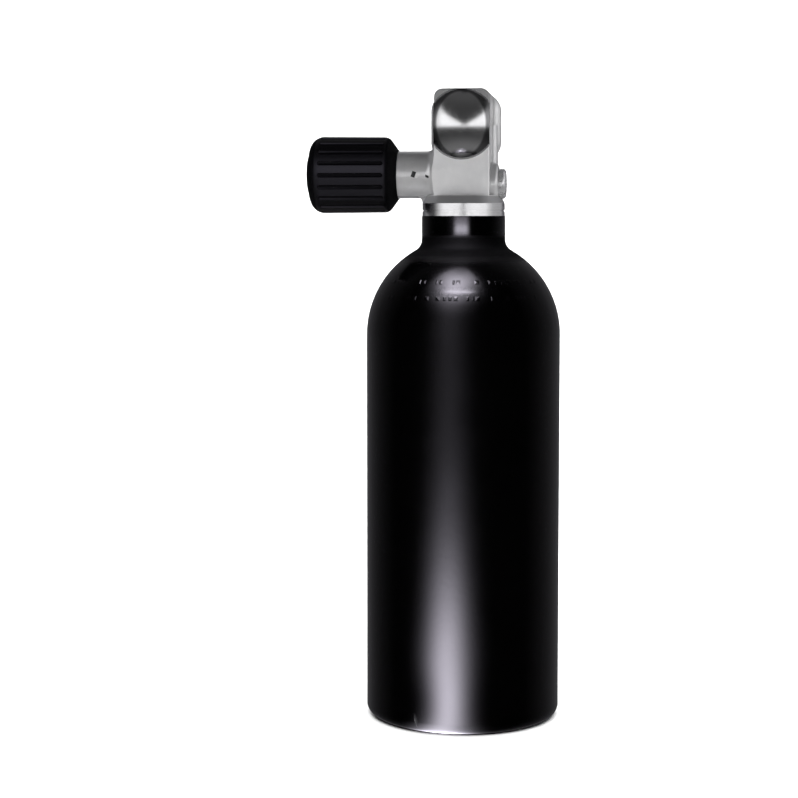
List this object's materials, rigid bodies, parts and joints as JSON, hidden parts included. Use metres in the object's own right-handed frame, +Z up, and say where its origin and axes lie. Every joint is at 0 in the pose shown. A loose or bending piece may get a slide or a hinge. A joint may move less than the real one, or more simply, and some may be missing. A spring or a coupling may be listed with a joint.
{
  "type": "scuba tank",
  "caption": "Small round-shouldered aluminium diving cylinder with a threaded neck valve, ribbed rubber shut-off knob, blanked side port and a threaded regulator outlet.",
  "frame": {"origin": "centre of the flat base that the tank stands on", "axes": "+Z up along the bottle's axis, +Y the way the regulator outlet faces, -X towards the knob"},
  "size_m": [0.1466, 0.1124, 0.3641],
  "materials": {
    "black_paint": "gloss black paint on aluminium",
    "satin_chrome": "satin",
    "polished_chrome": "polished",
    "knob_rubber": "matte",
    "black_rubber": "matte",
    "black_plastic": "matte",
    "bare_brass": "machined",
    "white_ptfe": "matte",
    "seat_nylon": "matte",
    "stainless_steel": "machined"
  },
  "bodies": {
    "tank": {"cylinder_shell": "black_paint", "neck_o_ring": "black_rubber", "valve_body": "satin_chrome", "side_port_plug": "polished_chrome", "side_plug_o_ring": "black_rubber", "dip_tube": "bare_brass", "gland_nut": "polished_chrome", "gland_o_ring": "black_rubber"},
    "knob": {"drive_spindle": "bare_brass", "thrust_washer": "white_ptfe", "inner_spindle_o_ring": "black_rubber", "backup_ring": "white_ptfe", "outer_spindle_o_ring": "black_rubber", "knob_grip": "knob_rubber", "knob_core": "black_plastic", "knob_square_bush": "bare_brass", "knob_spring": "stainless_steel", "knob_washer": "stainless_steel", "knob_nut": "stainless_steel"},
    "seat": {"seat_carrier": "bare_brass", "seat_disc": "seat_nylon"}
  },
  "joints": [
    {"name": "knob_turn", "type": "hinge", "parent": "tank", "child": "knob", "pos_m": [-0.05, 0, 0.3153], "axis": [-1, 0, 0], "range_deg": [0, 810]},
    {"name": "seat_travel", "type": "slide", "parent": "knob", "child": "seat", "axis": [-1, 0, 0], "range_m": [0, 0.00337]}
  ],
  "couplings": [
    {"joint": "seat_travel", "follows": "knob_turn", "m_per_rad": 0.00023873}
  ]
}
